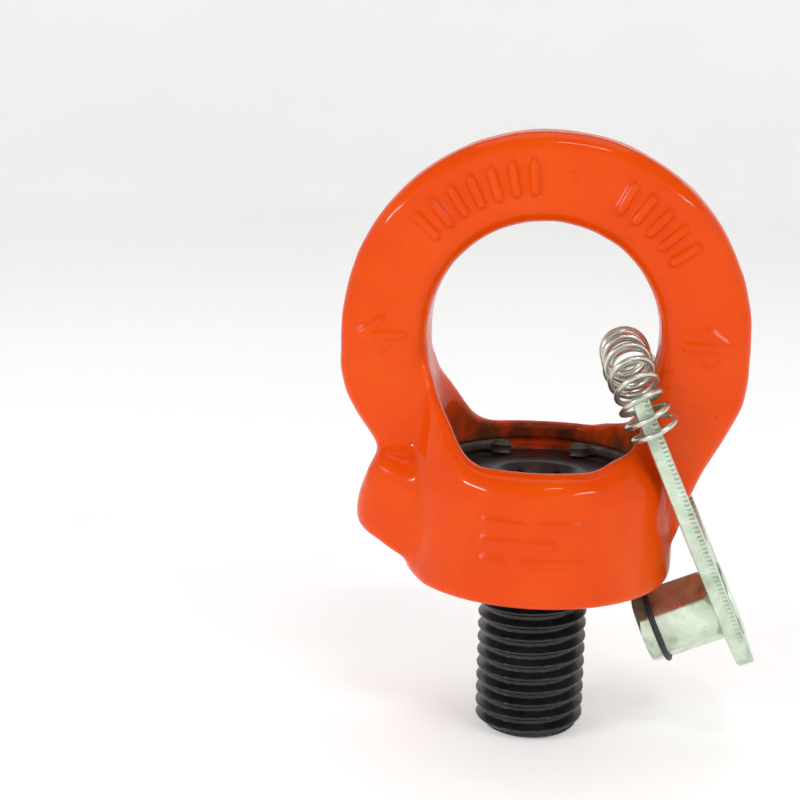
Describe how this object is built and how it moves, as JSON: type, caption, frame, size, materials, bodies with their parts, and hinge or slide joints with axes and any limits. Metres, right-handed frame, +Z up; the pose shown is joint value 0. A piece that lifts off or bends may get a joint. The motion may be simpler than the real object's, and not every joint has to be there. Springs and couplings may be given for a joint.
{
  "type": "swivel hoist ring",
  "caption": "Forged lifting eye that turns on a captive socket-head bolt, with a fold-away fork-shaped hex key held on one leg by a coil spring.",
  "frame": {"origin": "centre of the seat face under the base, on the bolt axis", "axes": "+Z up along the bolt axis to the top of the eye, Y through the eye opening, +X towards the leg that carries the key"},
  "size_m": [0.0767, 0.0492, 0.1096],
  "materials": {
    "orange_paint": "thick glossy orange enamel over a forged surface",
    "bolt_black": "black oxide, lightly oiled",
    "clip_phosphate": "dark phosphated spring steel",
    "key_zinc": "bright zinc plate",
    "spring_zinc": "bright plated spring wire",
    "rubber_black": "matt black rubber"
  },
  "bodies": {
    "bolt": {"bolt": "bolt_black"},
    "ring": {"ring_body": "orange_paint", "retaining_ring": "clip_phosphate"},
    "key": {"key_plate": "key_zinc", "key_hex": "key_zinc", "o_ring": "rubber_black", "key_spring": "spring_zinc"}
  },
  "joints": [
    {"name": "swivel", "type": "hinge", "parent": "bolt", "child": "ring", "pos_m": [0, 0, 0], "axis": [0, 0, 1], "continuous": true},
    {"name": "key_swing", "type": "hinge", "parent": "ring", "child": "key", "pos_m": [0.0144, 0, 0.0407], "axis": [0, -1, 0], "range_deg": [0, 75], "deforming": ["key_spring"]}
  ]
}
